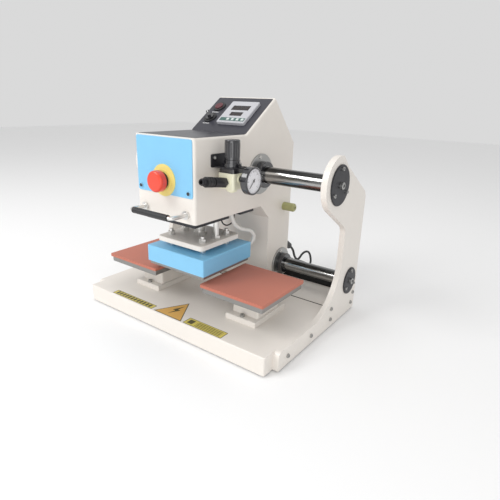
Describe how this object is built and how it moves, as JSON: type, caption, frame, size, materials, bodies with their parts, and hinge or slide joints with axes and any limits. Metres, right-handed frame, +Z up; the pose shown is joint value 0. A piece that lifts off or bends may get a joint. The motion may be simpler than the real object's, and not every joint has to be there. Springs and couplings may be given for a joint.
{
  "type": "double-station heat press",
  "caption": "Benchtop pneumatic heat press: a heated head on two horizontal rods slides sideways between two lower platens, with regulator, gauge and stop button.",
  "frame": {"origin": "on the surface the feet stand on, under the middle of the machine's outline without the mains cord", "axes": "+Z up, +X to the operator's right along the guide rods, -Y towards the operator"},
  "size_m": [0.538, 0.5814, 0.47],
  "materials": {
    "cream_paint": "satin powder coat",
    "blue_paint": "satin powder coat",
    "black_paint": "satin",
    "dark_steel": "blackened, satin",
    "polished_rod": "ground and hard chromed",
    "bright_steel": "zinc plated",
    "flange_steel": "nickel plated, satin",
    "aluminium": "machined",
    "silicone_pad": "matte silicone sponge",
    "black_plastic": "moulded",
    "black_gloss": "glossy moulded",
    "red_plastic": "glossy",
    "maroon_plastic": "glossy",
    "yellow_plastic": "matte",
    "grey_plastic": "matte",
    "key_plastic": "matte",
    "ivory_plastic": "satin",
    "bumper_rubber": "translucent polyurethane",
    "foot_rubber": "matte",
    "cord_rubber": "smooth",
    "bronze": "sintered",
    "wool": "mineral fibre",
    "lead_sleeve": "braided glass sleeve",
    "needle_black": "matte"
  },
  "bodies": {
    "root": {"base_shell": "cream_paint", "rear_tray": "cream_paint", "bottom_plate": "bright_steel", "rubber_feet": "foot_rubber", "side_plate_right": "cream_paint", "side_plate_left": "cream_paint", "upper_rod": "polished_rod", "lower_rod": "polished_rod", "rod_end_caps": "dark_steel", "frame_screws": "flange_steel", "platen_supports": "cream_paint", "platen_left": "aluminium", "platen_right": "aluminium", "silicone_pad_left": "silicone_pad", "silicone_pad_right": "silicone_pad"},
    "carriage": {"head_housing": "cream_paint", "head_screws": "bright_steel", "rear_cover": "cream_paint", "handle_bar": "bright_steel", "cylinder_plate": "dark_steel", "regulator_bracket": "dark_steel", "cylinder_tube": "aluminium", "cylinder_caps": "aluminium", "front_panel": "blue_paint", "estop_ring": "yellow_plastic", "estop_body": "black_plastic", "handle_grip": "black_plastic", "switch_bodies": "black_plastic", "cord_gland": "black_plastic", "solenoid_valve": "black_plastic", "regulator_bonnet": "black_gloss", "gauge_case": "black_gloss", "controller_case": "grey_plastic", "regulator_body": "ivory_plastic", "coupler_body": "flange_steel", "upper_bearings": "flange_steel", "lower_bearings": "flange_steel", "bumpers": "bumper_rubber", "guide_bushings": "bronze", "mains_cord": "cord_rubber", "cord_coil": "cord_rubber", "mains_plug": "cord_rubber"},
    "press": {"piston": "bright_steel", "guide_rods": "bright_steel", "mounting_plate": "cream_paint", "plate_bolts": "bright_steel", "heater_cover": "blue_paint", "insulation": "wool", "heater_platen": "aluminium", "heater_lead": "lead_sleeve"},
    "estop_button": {"estop_mushroom": "red_plastic"},
    "start_switch": {"start_button": "maroon_plastic"},
    "selector": {"selector_knob": "black_gloss"},
    "key_1": {"controller_key_1": "key_plastic"},
    "key_2": {"controller_key_2": "key_plastic"},
    "key_3": {"controller_key_3": "key_plastic"},
    "key_4": {"controller_key_4": "key_plastic"},
    "pressure_knob": {"regulator_knob": "black_gloss"},
    "needle": {"gauge_needle": "needle_black"},
    "sleeve": {"coupler_sleeve": "black_plastic"}
  },
  "joints": [
    {"name": "head_slide", "type": "slide", "parent": "root", "child": "carriage", "axis": [1, 0, 0], "range_m": [-0.1379, 0.1419]},
    {"name": "press_stroke", "type": "slide", "parent": "carriage", "child": "press", "axis": [0, 0, -1], "range_m": [0, 0.011], "stiffness_N_per_m": 2500, "springref_m": -0.032},
    {"name": "estop_press", "type": "slide", "parent": "carriage", "child": "estop_button", "axis": [0, 1, 0], "range_m": [0, 0.004], "stiffness_N_per_m": 2000, "springref_m": -0.002},
    {"name": "start_press", "type": "slide", "parent": "carriage", "child": "start_switch", "axis": [0, 0.5779, -0.8161], "range_m": [0, 0.003], "stiffness_N_per_m": 1200, "springref_m": -0.002},
    {"name": "selector_turn", "type": "hinge", "parent": "carriage", "child": "selector", "pos_m": [-0.052, 0.03641, 0.42543], "axis": [0, -0.5779, 0.8161], "range_deg": [-90, 0]},
    {"name": "key_1_press", "type": "slide", "parent": "carriage", "child": "key_1", "axis": [0, 0.5779, -0.8161], "range_m": [0, 0.0008], "stiffness_N_per_m": 1500, "springref_m": -0.0006},
    {"name": "key_2_press", "type": "slide", "parent": "carriage", "child": "key_2", "axis": [0, 0.5779, -0.8161], "range_m": [0, 0.0008], "stiffness_N_per_m": 1500, "springref_m": -0.0006},
    {"name": "key_3_press", "type": "slide", "parent": "carriage", "child": "key_3", "axis": [0, 0.5779, -0.8161], "range_m": [0, 0.0008], "stiffness_N_per_m": 1500, "springref_m": -0.0006},
    {"name": "key_4_press", "type": "slide", "parent": "carriage", "child": "key_4", "axis": [0, 0.5779, -0.8161], "range_m": [0, 0.0008], "stiffness_N_per_m": 1500, "springref_m": -0.0006},
    {"name": "pressure_adjust", "type": "hinge", "parent": "carriage", "child": "pressure_knob", "pos_m": [0.103, -0.0815, 0.37], "axis": [0, 0, 1], "continuous": true},
    {"name": "needle_turn", "type": "hinge", "parent": "carriage", "child": "needle", "pos_m": [0.152, -0.0815, 0.3275], "axis": [-1, 0, 0], "range_deg": [0, 270], "stiffness_Nm_per_rad": 0.0002, "springref_deg": -17.19},
    {"name": "sleeve_pull", "type": "slide", "parent": "carriage", "child": "sleeve", "axis": [0, 0.9903, -0.1392], "range_m": [0, 0.003], "stiffness_N_per_m": 2000, "springref_m": -0.003}
  ]
}
